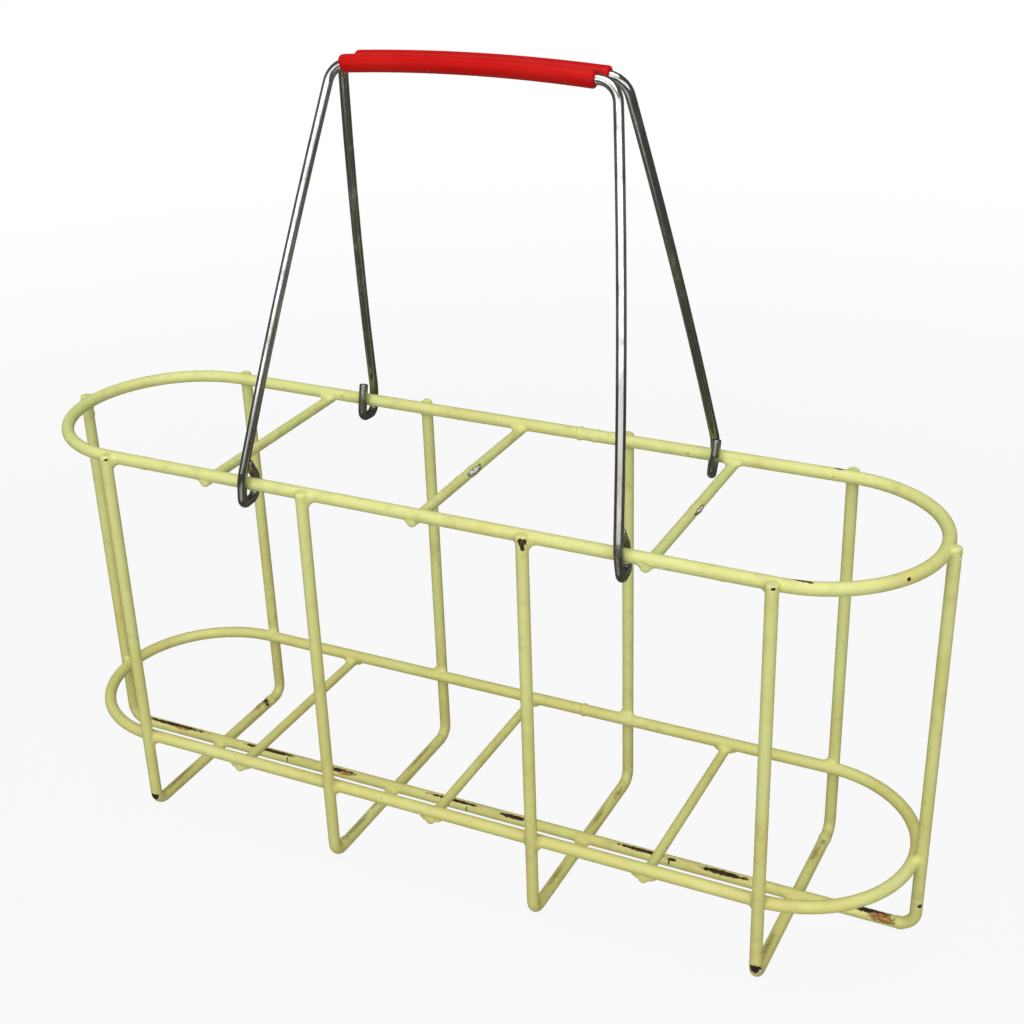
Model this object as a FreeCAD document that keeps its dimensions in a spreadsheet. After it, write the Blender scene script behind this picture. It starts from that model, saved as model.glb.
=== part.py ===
import FreeCAD, Part
import math
import os
import Sketcher

# A carrier basket for four bottles in a row, made of welded steel wire under a
# thick plastic coat, with two bent wire handles that swing on its top rails.
#
# Frame: millimetres, +X along the basket, +Y from the front rail to the back rail,
# +Z up, and the origin on the floor under the middle of the basket.
# All wire gauges are outside diameters, with the coat where the wire has one.

Vector = FreeCAD.Vector
Rotation = FreeCAD.Rotation
Placement = FreeCAD.Placement

BOTTLE_BAYS = 4

SIZES = [
    ("rail_gauge", 5.5, "wire of the two rings"),
    ("leg_gauge", 5.2, "wire of the leg frames and of the end frame"),
    ("divider_gauge", 4.4, "wire of the dividers"),
    ("handle_gauge", 4.0, "bare steel wire of the handles"),
    ("grip_gauge", 7.1, "outside of a plastic grip sleeve"),
    ("ring_width", 100.0, "between the rails of the top ring, centre to centre"),
    ("upper_rise", 183.3, "floor to the centre of the top ring"),
    ("lower_rise", 38.8, "floor to the centre of the bottom ring"),
    ("bay_pitch", 100.4, "one bottle bay to the next"),
    ("end_run", 0.6, "straight rail past an outermost leg, before the round end"),
    ("upper_bite", 1.6, "how deep a leg sinks into the top ring at its weld"),
    ("lower_bite", 2.1, "how deep a leg sinks into the bottom ring at its weld"),
    ("top_divider_bite", 2.1, "how deep a divider sinks into the top ring at its weld"),
    ("low_divider_bite", 1.35, "how deep a divider sinks into the bottom ring at its weld"),
    ("cross_bite", 3.1, "how deep the floor runs sink together where they cross"),
    ("foot_bend", 6.0, "bend of a leg frame at the floor, on the centre line"),
    ("end_bend", 8.0, "bend of the end frame at the floor, on the centre line"),
    ("end_inset", 0.5, "the right end leg's top stands this much nearer than the left one's"),
    ("end_lean", 1.62, "how much further in the right end leg comes at its foot"),
    ("leg_proud", 2.3, "top of a leg above the centre of the top ring"),
    ("divider_proud", 2.6, "end of a divider past the centre of its rail"),
    ("coat_round", 1.3, "round of the coat over a cut wire end"),
    ("butt_place", 29.0, "where the ends of a ring's wire meet, along the back rail"),
    ("butt_bead", 1.5, "radius of the bead round that joint, under the coat"),
    ("butt_proud", 0.45, "height of that bead over the wire"),
    ("handle_height", 173.9, "rail centre to the middle of the grip"),
    ("shoulder_span", 120.6, "between the two shoulders of a handle"),
    ("shoulder_bend", 9.0, "bend of a shoulder, on the centre line"),
    ("side_bow", 1.1, "how far a handle's side bows outwards"),
    ("grip_bow", 2.1, "how far the grip is bowed upwards"),
    ("front_span", 169.1, "between the two hooks of the front handle"),
    ("front_shift", 6.65, "the front hooks have slid this far to the right"),
    ("front_askew", 3.25, "the front shoulders lean this much further right"),
    ("rear_span", 169.3, "between the two hooks of the rear handle"),
    ("rear_shift", 5.35, "the rear hooks have slid this far to the right"),
    ("rear_askew", 3.85, "the rear shoulders lean this much further right"),
    ("eye_clearance", 0.6, "gap between a rail and the eye of a hook"),
    ("eye_kink", 4.0, "rail centre to the corner where a side turns into its eye"),
    ("eye_crank", 18.0, "bend at that corner"),
    ("front_tilt", 18.0, "degrees that a front eye is turned inwards from its handle"),
    ("front_drop", 8.3, "rail centre to the bottom of a front eye, on the centre line"),
    ("front_rise", 9.0, "rail centre to the end of a front hook's tip"),
    ("front_close", 4.2, "how far a front hook's tip is bent back towards its side"),
    ("rear_tilt", 24.0, "degrees that a rear eye is turned inwards from its handle"),
    ("rear_drop", 7.6, "rail centre to the bottom of a rear eye, on the centre line"),
    ("rear_rise", 8.4, "rail centre to the end of a rear hook's tip"),
    ("rear_close", 1.0, "how far a rear hook's tip is bent back towards its side"),
    ("eye_neck", 1.5, "rail centre to the corner where a tip turns back"),
    ("eye_bend", 3.6, "bends at the bottom of an eye, on the centre line"),
    ("tip_bend", 5.0, "bend of a hook's tip, on the centre line"),
    ("tip_round", 0.5, "round of the cut end of a handle's wire"),
    ("grip_gap", 0.3, "gap between the two grips where they lean together"),
    ("sleeve_length", 107.6, "plastic sleeve along the wire"),
    ("sleeve_clearance", 0.05, "gap between a sleeve and the wire inside it"),
    ("sleeve_round", 1.1, "round of a sleeve's outer ends"),
    ("front_creep", -2.1, "the front sleeve has crept this far to the right"),
    ("rear_creep", 0.5, "the rear sleeve has crept this far to the right"),
    ("front_left_skew", -0.9, "how far this hook's tip was bent to the right"),
    ("front_right_skew", -1.65, "how far this hook's tip was bent to the right"),
    ("rear_left_skew", 0.2, "how far this hook's tip was bent to the right"),
    ("rear_right_skew", 3.5, "how far this hook's tip was bent to the right"),
    ("front_left_slant", -1.1, "how far the bottom of this eye lies to the right"),
    ("front_right_slant", 1.0, "how far the bottom of this eye lies to the right"),
    ("rear_left_slant", -0.4, "how far the bottom of this eye lies to the right"),
    ("rear_right_slant", -1.0, "how far the bottom of this eye lies to the right"),
]

# Places that several pieces share, written with the sizes above.
UPPER_LAP = "((sizes.rail_gauge + sizes.leg_gauge)/2 - sizes.upper_bite)"
LOWER_LAP = "((sizes.rail_gauge + sizes.leg_gauge)/2 - sizes.lower_bite)"
RING_LENGTH = f"(sizes.bay_pitch*{BOTTLE_BAYS - 1} + 2*sizes.end_run + sizes.ring_width)"
LEG_SPAN = f"(sizes.ring_width + 2*{UPPER_LAP})"
END_SPAN = f"({RING_LENGTH} + 2*{UPPER_LAP})"
LOWER_WIDTH = f"({LEG_SPAN} - 2*{LOWER_LAP})"
LOWER_LENGTH = f"({END_SPAN} - 2*{LOWER_LAP})"
FOOT_RISE = "(sizes.leg_gauge/2)"
CROSSING_RISE = f"({FOOT_RISE} + sizes.leg_gauge - sizes.cross_bite)"
LEG_TOP = "(sizes.upper_rise + sizes.leg_proud)"
LEAN_RUN = f"({LEG_TOP} - {CROSSING_RISE} - sizes.end_bend)"
LEAN_SHARE = f"(({LEG_TOP} - sizes.lower_rise)/{LEAN_RUN})"
LOWER_SHORT = f"(sizes.end_inset + sizes.end_lean*{LEAN_SHARE})"
DIVIDER_LAP = "(sizes.rail_gauge + sizes.divider_gauge)/2"
BEAD_RADIUS = "sizes.rail_gauge/2 + sizes.butt_proud - sizes.butt_bead"

# How far a handle leans inwards from upright until the two grips meet.
EYE_OFFSET = "((sizes.rail_gauge + sizes.handle_gauge)/2 + sizes.eye_clearance)"
GRIP_INWARD = "(sizes.ring_width/2 - (sizes.grip_gauge + sizes.grip_gap)/2)"


def lean_angle(place):
    """The formula for a handle's lean, in degrees."""
    tilt = f"sizes.{place}_tilt"
    offset = f"({EYE_OFFSET}*cos({tilt}) + sizes.eye_kink*sin({tilt}))"
    reach = f"sqrt(sizes.handle_height^2 + {offset}^2)"
    return f"atan({offset}/sizes.handle_height) + asin({GRIP_INWARD}/{reach})"


doc = FreeCAD.newDocument("bottle_carrier_basket")


def fill_sheet():
    """Write each driving size into the sheet, with its name as the alias."""
    cells = doc.addObject("Spreadsheet::Sheet", "sizes")
    for row, (name, value, note) in enumerate(SIZES, start=1):
        cells.set(f"A{row}", name)
        cells.set(f"B{row}", str(value))
        cells.set(f"C{row}", note)
        cells.setAlias(f"B{row}", name)
    doc.recompute()
    return cells


sheet = fill_sheet()


def size(name):
    """A driving size, read from the sheet."""
    return float(sheet.get(name))


def sketch_on(body, role, name):
    """A sketch on one of the body's own origin planes."""
    plane = next(item for item in body.Origin.OriginFeatures if item.Role == role)
    sketch = body.newObject("Sketcher::SketchObject", name)
    sketch.AttachmentSupport = (plane, [""])
    sketch.MapMode = "FlatFace"
    return sketch


def constrain(sketch, name, constraint, formula):
    """Add a dimension with a name of its own and bind it to the sheet."""
    index = sketch.addConstraint(constraint)
    sketch.renameConstraint(index, name)
    sketch.setExpression(f"Constraints.{name}", formula)


def section(body, role, gauge, across):
    """A round wire section whose centre lies on the sketch's horizontal axis."""
    sketch = sketch_on(body, role, body.Name + "_section")
    start = Vector(-size("ring_width")/2, 0, 0)
    sketch.addGeometry(Part.Circle(start, Vector(0, 0, 1), size("rail_gauge")/2), False)
    sketch.addConstraint(Sketcher.Constraint("PointOnObject", 0, 3, -1))
    constrain(sketch, "gauge", Sketcher.Constraint("Diameter", 0, size("rail_gauge")), gauge)
    constrain(sketch, "across", Sketcher.Constraint("DistanceX", 0, 3, -1, 1, -start.x), across)
    return sketch


def ring(name, width, length, rise, short):
    """A racetrack of one round wire, with the bead of its butt joint at the back.

    short is how much nearer its right end lies than its left one.
    """
    body = doc.addObject("PartDesign::Body", name)
    half = size("bay_pitch")*(BOTTLE_BAYS - 1)/2 + size("end_run")
    round_end = size("ring_width")/2
    path = sketch_on(body, "XY_Plane", name + "_path")
    normal = Vector(0, 0, 1)
    right = Part.Circle(Vector(half, 0, 0), normal, round_end)
    left = Part.Circle(Vector(-half, 0, 0), normal, round_end)
    quarter = math.pi/2
    path.addGeometry(Part.LineSegment(Vector(-half, -round_end, 0), Vector(half, -round_end, 0)))
    path.addGeometry(Part.ArcOfCircle(right, -quarter, quarter))
    path.addGeometry(Part.LineSegment(Vector(half, round_end, 0), Vector(-half, round_end, 0)))
    path.addGeometry(Part.ArcOfCircle(left, quarter, 3*quarter))
    for first, second in ((0, 1), (1, 2), (2, 3), (3, 0)):
        path.addConstraint(Sketcher.Constraint("Tangent", first, 2, second, 1))
    path.addConstraint(Sketcher.Constraint("Horizontal", 0))
    path.addConstraint(Sketcher.Constraint("PointOnObject", 1, 3, -1))
    path.addConstraint(Sketcher.Constraint("PointOnObject", 3, 3, -1))
    bend = Sketcher.Constraint("Radius", 1, round_end)
    constrain(path, "bend", bend, f"{width}/2")
    left_reach = Sketcher.Constraint("DistanceX", 3, 3, -1, 1, half)
    constrain(path, "left_reach", left_reach, f"({length} - {width})/2")
    right_reach = Sketcher.Constraint("DistanceX", -1, 1, 1, 3, half)
    constrain(path, "right_reach", right_reach, f"({length} - {width})/2 - {short}")
    wire = section(body, "YZ_Plane", "sizes.rail_gauge", f"{width}/2")
    doc.recompute()
    sweep = body.newObject("PartDesign::AdditivePipe", name + "_wire")
    sweep.Profile = wire
    sweep.Spine = (path, ["Edge1", "Edge2", "Edge3", "Edge4"])
    bead = body.newObject("PartDesign::AdditiveTorus", name + "_bead")
    plane = next(item for item in body.Origin.OriginFeatures if item.Role == "YZ_Plane")
    bead.AttachmentSupport = (plane, [""])
    bead.MapMode = "FlatFace"
    bead.setExpression("AttachmentOffset.Base.x", f"{width}/2")
    bead.setExpression("AttachmentOffset.Base.z", "sizes.butt_place")
    bead.setExpression("Radius1", BEAD_RADIUS)
    bead.setExpression("Radius2", "sizes.butt_bead")
    body.setExpression("Placement.Base.z", rise)
    return body


def u_wire(name, plane_role, span, floor, bend, inset=None, lean=None):
    """A wire bent to a U: a leg, a run along the floor and the other leg.

    inset and lean bring the second leg nearer, at its top and then more at its foot.
    """
    body = doc.addObject("PartDesign::Body", name)
    half = size("ring_width")/2
    rise = size("leg_gauge")/2
    top = size("upper_rise")
    turn = size("foot_bend")
    normal = Vector(0, 0, 1)
    path = sketch_on(body, plane_role, name + "_path")
    left = Part.Circle(Vector(turn - half, rise + turn, 0), normal, turn)
    right = Part.Circle(Vector(half - turn, rise + turn, 0), normal, turn)
    path.addGeometry(Part.LineSegment(Vector(-half, top, 0), Vector(-half, rise + turn, 0)))
    path.addGeometry(Part.ArcOfCircle(left, math.pi, 1.5*math.pi))
    path.addGeometry(Part.LineSegment(Vector(turn - half, rise, 0), Vector(half - turn, rise, 0)))
    path.addGeometry(Part.ArcOfCircle(right, 1.5*math.pi, 2*math.pi))
    path.addGeometry(Part.LineSegment(Vector(half, rise + turn, 0), Vector(half, top, 0)))
    path.addConstraint(Sketcher.Constraint("Tangent", 0, 2, 1, 1))
    path.addConstraint(Sketcher.Constraint("Tangent", 1, 2, 2, 1))
    path.addConstraint(Sketcher.Constraint("Tangent", 2, 2, 3, 1))
    path.addConstraint(Sketcher.Constraint("Tangent", 3, 2, 4, 1))
    path.addConstraint(Sketcher.Constraint("Vertical", 0))
    path.addConstraint(Sketcher.Constraint("Horizontal", 2))
    path.addConstraint(Sketcher.Constraint("Equal", 1, 3))
    if lean is None:
        path.addConstraint(Sketcher.Constraint("Vertical", 4))
        path.addConstraint(Sketcher.Constraint("Symmetric", 0, 1, 4, 2, -2))
        constrain(path, "span", Sketcher.Constraint("DistanceX", 0, 1, 4, 2, 2*half), span)
    else:
        path.addConstraint(Sketcher.Constraint("Horizontal", 0, 1, 4, 2))
        first_side = Sketcher.Constraint("DistanceX", 0, 1, -1, 1, half)
        constrain(path, "first_side", first_side, f"{span}/2")
        second_side = Sketcher.Constraint("DistanceX", -1, 1, 4, 2, half)
        constrain(path, "second_side", second_side, f"{span}/2 - {inset}")
        foot_in = Sketcher.Constraint("DistanceX", 4, 1, 4, 2, size("end_lean"))
        constrain(path, "lean", foot_in, lean)
    constrain(path, "bend", Sketcher.Constraint("Radius", 1, turn), bend)
    constrain(path, "floor", Sketcher.Constraint("DistanceY", -1, 1, 2, 1, rise), floor)
    constrain(path, "top", Sketcher.Constraint("DistanceY", -1, 1, 0, 1, top), LEG_TOP)
    wire = sketch_on(body, "XY_Plane", name + "_section")
    along_y = plane_role == "YZ_Plane"
    centre = Vector(0, -half, 0) if along_y else Vector(-half, 0, 0)
    wire.addGeometry(Part.Circle(centre, normal, rise))
    on_axis = Sketcher.Constraint("PointOnObject", 0, 3, -2 if along_y else -1)
    wire.addConstraint(on_axis)
    direction = "DistanceY" if along_y else "DistanceX"
    constrain(wire, "gauge", Sketcher.Constraint("Diameter", 0, 2*rise), "sizes.leg_gauge")
    constrain(wire, "side", Sketcher.Constraint(direction, 0, 3, -1, 1, half), f"{span}/2")
    wire.setExpression("AttachmentOffset.Base.z", LEG_TOP)
    doc.recompute()
    sweep = body.newObject("PartDesign::AdditivePipe", name + "_wire")
    sweep.Profile = wire
    sweep.Spine = (path, ["Edge1", "Edge2", "Edge3", "Edge4", "Edge5"])
    doc.recompute()
    round_ends(body, sweep)
    return body


def straight_wire(name, length, gauge):
    """A straight wire along Y, centred on the body's origin."""
    body = doc.addObject("PartDesign::Body", name)
    wire = sketch_on(body, "XZ_Plane", name + "_section")
    wire.addGeometry(Part.Circle(Vector(0, 0, 0), Vector(0, 0, 1), size("divider_gauge")/2))
    wire.addConstraint(Sketcher.Constraint("Coincident", 0, 3, -1, 1))
    diameter = Sketcher.Constraint("Diameter", 0, size("divider_gauge"))
    constrain(wire, "gauge", diameter, gauge)
    rod = body.newObject("PartDesign::Pad", name + "_rod")
    rod.Profile = wire
    rod.Midplane = True
    rod.setExpression("Length", length)
    doc.recompute()
    round_ends(body, rod)
    return body


def end_circles(shape):
    """The numbers of the circles round a wire's flat cut ends."""
    found = []
    for number, edge in enumerate(shape.Edges, start=1):
        faces = shape.ancestorsOfType(edge, Part.Face)
        flat = any(face.Surface.TypeId == "Part::GeomPlane" for face in faces)
        if flat and edge.Curve.TypeId == "Part::GeomCircle":
            found.append(number)
    return found


def round_ends(body, wire):
    """The coat closes over each cut end in a soft round."""
    ends = body.newObject("PartDesign::Fillet", body.Name + "_ends")
    ends.Base = (wire, [f"Edge{number}" for number in end_circles(wire.Shape)])
    ends.setExpression("Radius", "sizes.coat_round")


def welded(name, wire, neighbours):
    """Sink a wire's saddles round the wires that it is welded to."""
    seated = wire
    for neighbour in neighbours:
        seat = doc.addObject("Part::Cut", f"{name}_on_{neighbour.Name}")
        seat.Base = seated
        seat.Tool = neighbour
        seated = seat
    return seated


def bend_wire(corners, bends):
    """Straight runs joined by tangent arcs, one bend radius for each inner corner."""
    edges = []
    start = corners[0]
    for before, corner, after, radius in zip(corners, corners[1:], corners[2:], bends):
        coming = (corner - before).normalize()
        leaving = (after - corner).normalize()
        turn = coming.getAngle(leaving)
        reach = radius*math.tan(turn/2)
        inwards = (leaving - coming).normalize()
        centre = corner + inwards*(radius/math.cos(turn/2))
        enter = corner - coming*reach
        leave = corner + leaving*reach
        if (enter - start).Length > 0.001:
            edges.append(Part.LineSegment(start, enter).toShape())
        edges.append(Part.Arc(enter, centre - inwards*radius, leave).toShape())
        start = leave
    edges.append(Part.LineSegment(start, corners[-1]).toShape())
    return edges


def bow_bend(before, knee, after):
    """The radius that lets a slight bow use nearly the whole of its shorter run."""
    turn = (knee - before).getAngle(after - knee)
    run = min((knee - before).Length, (after - knee).Length)
    return 0.86*run/math.tan(turn/2)


def eye_offset():
    """Centre of a rail to the centre of the wire that runs past it."""
    return (size("rail_gauge") + size("handle_gauge"))/2 + size("eye_clearance")


def side_corners(outward, shoulder, place, hand):
    """The corners and bends of one side of a handle, from its hook's tip up.

    outward points away from the basket, hand is -1 for the left side and 1 for the
    right one. The hook goes under the rail and its tip leans back over it.
    """
    tilt = math.radians(size(f"{place}_tilt"))
    up = Vector(0, 0, math.cos(tilt)) + outward*math.sin(tilt)
    over = outward*math.cos(tilt) - Vector(0, 0, math.sin(tilt))
    centre = Vector(size(f"{place}_shift") + hand*size(f"{place}_span")/2, 0, 0)
    past = centre + over*eye_offset()
    foot = past + up*size("eye_kink")
    side_name = "left" if hand < 0 else "right"
    across = over*(-2*eye_offset()) + Vector(size(f"{place}_{side_name}_skew"), 0, 0)
    slant = Vector(size(f"{place}_{side_name}_slant"), 0, 0)
    low = past - up*size(f"{place}_drop") + slant
    neck = past + up*size("eye_neck") + across
    back = over*size(f"{place}_close")
    tip = past + up*size(f"{place}_rise") + across + back
    knee = (foot + shoulder)*0.5 + Vector(2*hand*size("side_bow"), 0, 0)
    corners = [tip, neck, low + across, low, foot, knee, shoulder]
    side_bend = bow_bend(foot, knee, shoulder)
    eye_bend = size("eye_bend")
    bends = [size("tip_bend"), eye_bend, eye_bend, size("eye_crank"), side_bend]
    return corners, bends


def handle_path(place, side):
    """The centre line of a handle, upright, with the rail's axis as its X axis."""
    outward = Vector(0, -side, 0)
    tilt = math.radians(size(f"{place}_tilt"))
    plane = eye_offset()*math.cos(tilt) + size("eye_kink")*math.sin(tilt)
    middle = size(f"{place}_shift") + size(f"{place}_askew")
    height = size("handle_height") - size("grip_bow")
    top = outward*plane + Vector(middle, 0, height)
    half = Vector(size("shoulder_span")/2, 0, 0)
    crown = top + Vector(0, 0, 2*size("grip_bow"))
    left, left_bends = side_corners(outward, top - half, place, -1)
    right, right_bends = side_corners(outward, top + half, place, 1)
    shoulder = size("shoulder_bend")
    top_bends = [shoulder, bow_bend(top - half, crown, top + half), shoulder]
    return bend_wire(left + [crown] + right[::-1], left_bends + top_bends + right_bends[::-1])


def stretch(edges, start, finish):
    """The part of a chain of edges between two lengths along it."""
    part = []
    travelled = 0.0
    for edge in edges:
        low = max(start - travelled, 0.0)
        high = min(finish - travelled, edge.Length)
        if high - low > 0.001:
            first = edge.getParameterByLength(low)
            last = edge.getParameterByLength(high)
            part.append(edge.Curve.toShape(first, last))
        travelled += edge.Length
    return part


def length_to_crown(edges):
    """Length along the wire to the middle of its grip run, the top of the handle."""
    travelled = 0.0
    highest = max(edges, key=lambda edge: edge.BoundBox.Center.z)
    for edge in edges:
        if edge.isSame(highest):
            return travelled + edge.Length/2
        travelled += edge.Length
    return travelled


def swept(name, edges, diameter, formula):
    """A round section swept along a bent centre line."""
    line = doc.addObject("Part::Feature", name + "_line")
    line.Shape = Part.Wire(edges)
    start = edges[0].valueAt(edges[0].FirstParameter)
    heading = edges[0].tangentAt(edges[0].FirstParameter)
    around = doc.addObject("Part::Circle", name + "_section")
    around.Placement = Placement(start, Rotation(Vector(0, 0, 1), heading))
    around.Radius = diameter/2
    around.setExpression("Radius", formula)
    tube = doc.addObject("Part::Sweep", name + "_sweep")
    tube.Sections = [around]
    tube.Spine = (line, [f"Edge{number}" for number in range(1, len(edges) + 1)])
    tube.Solid = True
    tube.Frenet = False
    return tube


def rounded(name, base, circles, radius_name):
    """Round the named circles and give the piece its name."""
    piece = doc.addObject("Part::Fillet", name)
    piece.Base = base
    piece.Edges = [(number, size(radius_name), size(radius_name)) for number in circles]
    return piece


def lean_on_rail(piece, place, side):
    """Stand a handle's piece on its rail, leaning in until the grips meet."""
    piece.Placement = Placement(Vector(0, 0, 0), Rotation(Vector(-side, 0, 0), 1))
    piece.setExpression("Placement.Rotation.Angle", lean_angle(place))
    piece.setExpression("Placement.Base.y", f"{-side}*sizes.ring_width/2")
    piece.setExpression("Placement.Base.z", "sizes.upper_rise")


def handle(place, side):
    """One bent wire with a hook eye at each end, and the sleeve on its grip run."""
    path = handle_path(place, side)
    bare = swept(f"{place}_handle_wire", path, size("handle_gauge"), "sizes.handle_gauge/2")
    doc.recompute()
    wire = rounded(f"{place}_handle", bare, end_circles(bare.Shape), "tip_round")
    middle = length_to_crown(path) + size(f"{place}_creep")
    half = size("sleeve_length")/2
    run = stretch(path, middle - half, middle + half)
    bore_size = size("handle_gauge") + 2*size("sleeve_clearance")
    bore_formula = "sizes.handle_gauge/2 + sizes.sleeve_clearance"
    outside = swept(f"{place}_grip_outside", run, size("grip_gauge"), "sizes.grip_gauge/2")
    inside = swept(f"{place}_grip_inside", run, bore_size, bore_formula)
    sleeve = doc.addObject("Part::Cut", f"{place}_grip_tube")
    sleeve.Base = outside
    sleeve.Tool = inside
    doc.recompute()
    rims = []
    for number in end_circles(sleeve.Shape):
        if abs(sleeve.Shape.Edges[number - 1].Curve.Radius - size("grip_gauge")/2) < 0.01:
            rims.append(number)
    grip = rounded(f"{place}_grip", sleeve, rims, "sleeve_round")
    lean_on_rail(wire, place, side)
    lean_on_rail(grip, place, side)
    return wire, grip


# The two rings, whole.
top_ring = ring("top_ring", "sizes.ring_width", RING_LENGTH, "sizes.upper_rise", "0")
bottom_ring = ring("bottom_ring", LOWER_WIDTH, LOWER_LENGTH, "sizes.lower_rise", LOWER_SHORT)
sub_parts = {"top_ring": top_ring, "bottom_ring": bottom_ring}

# One leg frame across the middle of each bay, lapped on the outside of both rings.
leg_wires = []
for bay in range(BOTTLE_BAYS):
    frame_name = f"leg_frame_{bay + 1}"
    frame_wire = u_wire(f"{frame_name}_wire", "YZ_Plane", LEG_SPAN, FOOT_RISE, "sizes.foot_bend")
    frame_wire.setExpression("Placement.Base.x", f"sizes.bay_pitch*{bay - (BOTTLE_BAYS - 1)/2}")
    leg_wires.append(frame_wire)
    sub_parts[frame_name] = welded(frame_name, frame_wire, [top_ring, bottom_ring])

# The long frame stands at both round ends and runs across the tops of the feet. Its right
# leg was welded leaning in, and the bottom ring ends sooner on that side.
end_wire = u_wire("end_frame_wire", "XZ_Plane", END_SPAN, CROSSING_RISE, "sizes.end_bend",
                  "sizes.end_inset", "sizes.end_lean")
sub_parts["end_frame"] = welded("end_frame", end_wire, [top_ring, bottom_ring] + leg_wires)

# Dividers under both rings, between the bays.
DIVIDER_LEVELS = [
    ("top", top_ring, "sizes.ring_width", "sizes.upper_rise", "sizes.top_divider_bite"),
    ("bottom", bottom_ring, LOWER_WIDTH, "sizes.lower_rise", "sizes.low_divider_bite"),
]
for level, carrier, width, rise, bite in DIVIDER_LEVELS:
    for gap in range(1, BOTTLE_BAYS):
        divider_name = f"{level}_divider_{gap}"
        divider_length = f"{width} + 2*sizes.divider_proud"
        rod = straight_wire(f"{divider_name}_wire", divider_length, "sizes.divider_gauge")
        rod.setExpression("Placement.Base.x", f"sizes.bay_pitch*{gap - BOTTLE_BAYS/2}")
        rod.setExpression("Placement.Base.z", f"{rise} - {DIVIDER_LAP} + {bite}")
        sub_parts[divider_name] = welded(divider_name, rod, [carrier])

# The two handles with their sleeves.
for place, side in (("front", 1), ("rear", -1)):
    sub_parts[f"{place}_handle"], sub_parts[f"{place}_grip"] = handle(place, side)

doc.recompute()


def check():
    """Stop on a failed object, a bad solid, or a weld that cut nothing."""
    for item in doc.Objects:
        if "Invalid" in item.State or "Error" in item.State:
            raise RuntimeError(f"{item.Name} failed: {item.State}")
    for name, item in sub_parts.items():
        shape = item.Shape
        if shape.isNull() or not shape.isValid() or len(shape.Solids) != 1:
            raise RuntimeError(f"{name} isn't one valid solid")
        if item.TypeId == "Part::Cut" and shape.Volume > item.Base.Shape.Volume - 0.1:
            raise RuntimeError(f"{name} has no saddle at its weld")


check()
os.makedirs("parts", exist_ok=True)
for name, item in sub_parts.items():
    item.Label = name
    item.Shape.exportStep(f"parts/{name}.step")
    box = item.Shape.BoundBox
    low = f"{box.XMin:.1f} {box.YMin:.1f} {box.ZMin:.1f}"
    high = f"{box.XMax:.1f} {box.YMax:.1f} {box.ZMax:.1f}"
    print(f"{name}: {item.Shape.Volume:.1f} mm3, {low} to {high}")
for place in ("front", "rear"):
    lean = math.degrees(sub_parts[f"{place}_handle"].Placement.Rotation.Angle)
    print(f"lean of the {place} handle: {lean:.3f} degrees")
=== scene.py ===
# %% [markdown]
# # A wire carrier for bottles, dressed for its picture
# The real object is a basket of welded steel wire under a thick yellow-green coat, with two bare
# steel handles and a red sleeve on each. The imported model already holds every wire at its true
# size, so this lesson adds what a camera sees: the finish of each surface, the coat that pools in
# the welds, and the chips and rust of long use.

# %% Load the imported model
import math

import bmesh
import bpy
import mathutils.noise
from mathutils import Matrix, Vector


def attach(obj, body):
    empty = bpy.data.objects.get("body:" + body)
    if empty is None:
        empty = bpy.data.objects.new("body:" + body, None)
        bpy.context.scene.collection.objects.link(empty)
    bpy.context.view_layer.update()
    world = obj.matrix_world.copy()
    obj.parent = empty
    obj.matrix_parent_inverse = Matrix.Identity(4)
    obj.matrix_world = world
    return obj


MM = 0.001

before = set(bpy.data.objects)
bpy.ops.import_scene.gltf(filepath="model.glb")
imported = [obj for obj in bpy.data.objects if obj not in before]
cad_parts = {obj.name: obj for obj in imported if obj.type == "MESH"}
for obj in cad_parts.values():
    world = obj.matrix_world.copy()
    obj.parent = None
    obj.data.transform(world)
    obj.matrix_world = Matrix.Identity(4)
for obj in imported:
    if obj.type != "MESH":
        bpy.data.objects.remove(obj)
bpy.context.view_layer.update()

# %% [markdown]
# The camera comes first, because every later choice is judged through it. A camera can be placed
# by eye, but the straight wires of the basket fix its place, its heading and its lens, so those
# numbers are written here as what they are: a place in metres, three angles in radians and a focal
# length in millimetres. The small shift only says that the photograph was cut a little off its
# middle.

# %% Camera
CAMERA_PLACE = Vector((0.30287, -0.56005, 0.47032))
CAMERA_HEADING = -0.46715
CAMERA_DOWN = 0.45633
CAMERA_ROLL = 0.03354
CAMERA_LENS = 57.84
CAMERA_SENSOR = 36.0
CAMERA_SHIFT = (-0.0026, 0.0066)
CAMERA_NEAREST = 0.01

camera_data = bpy.data.cameras.new("camera")
camera_data.lens = CAMERA_LENS
camera_data.sensor_width = CAMERA_SENSOR
camera_data.shift_x, camera_data.shift_y = CAMERA_SHIFT
camera_data.clip_start = CAMERA_NEAREST
camera = bpy.data.objects.new("camera", camera_data)
heading = Matrix.Rotation(-CAMERA_HEADING, 4, "Z")
tilt = Matrix.Rotation(math.pi/2 - CAMERA_DOWN, 4, "X")
roll = Matrix.Rotation(-CAMERA_ROLL, 4, "Z")
camera.matrix_world = Matrix.Translation(CAMERA_PLACE) @ heading @ tilt @ roll
bpy.context.scene.collection.objects.link(camera)
bpy.context.scene.camera = camera
bpy.context.scene.view_settings.view_transform = "Standard"
print("camera looks along", [round(-part, 3) for part in camera.matrix_world.col[2][:3]])

# %% [markdown]
# A material in Blender is a graph of small nodes. Written out one call at a time such a graph is
# long and hard to read, so a few helpers come first. One adds a node and fills its sockets, by
# value or by link, and the others are the sums that every finish here is made of.

# %% Helpers for material graphs


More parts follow.
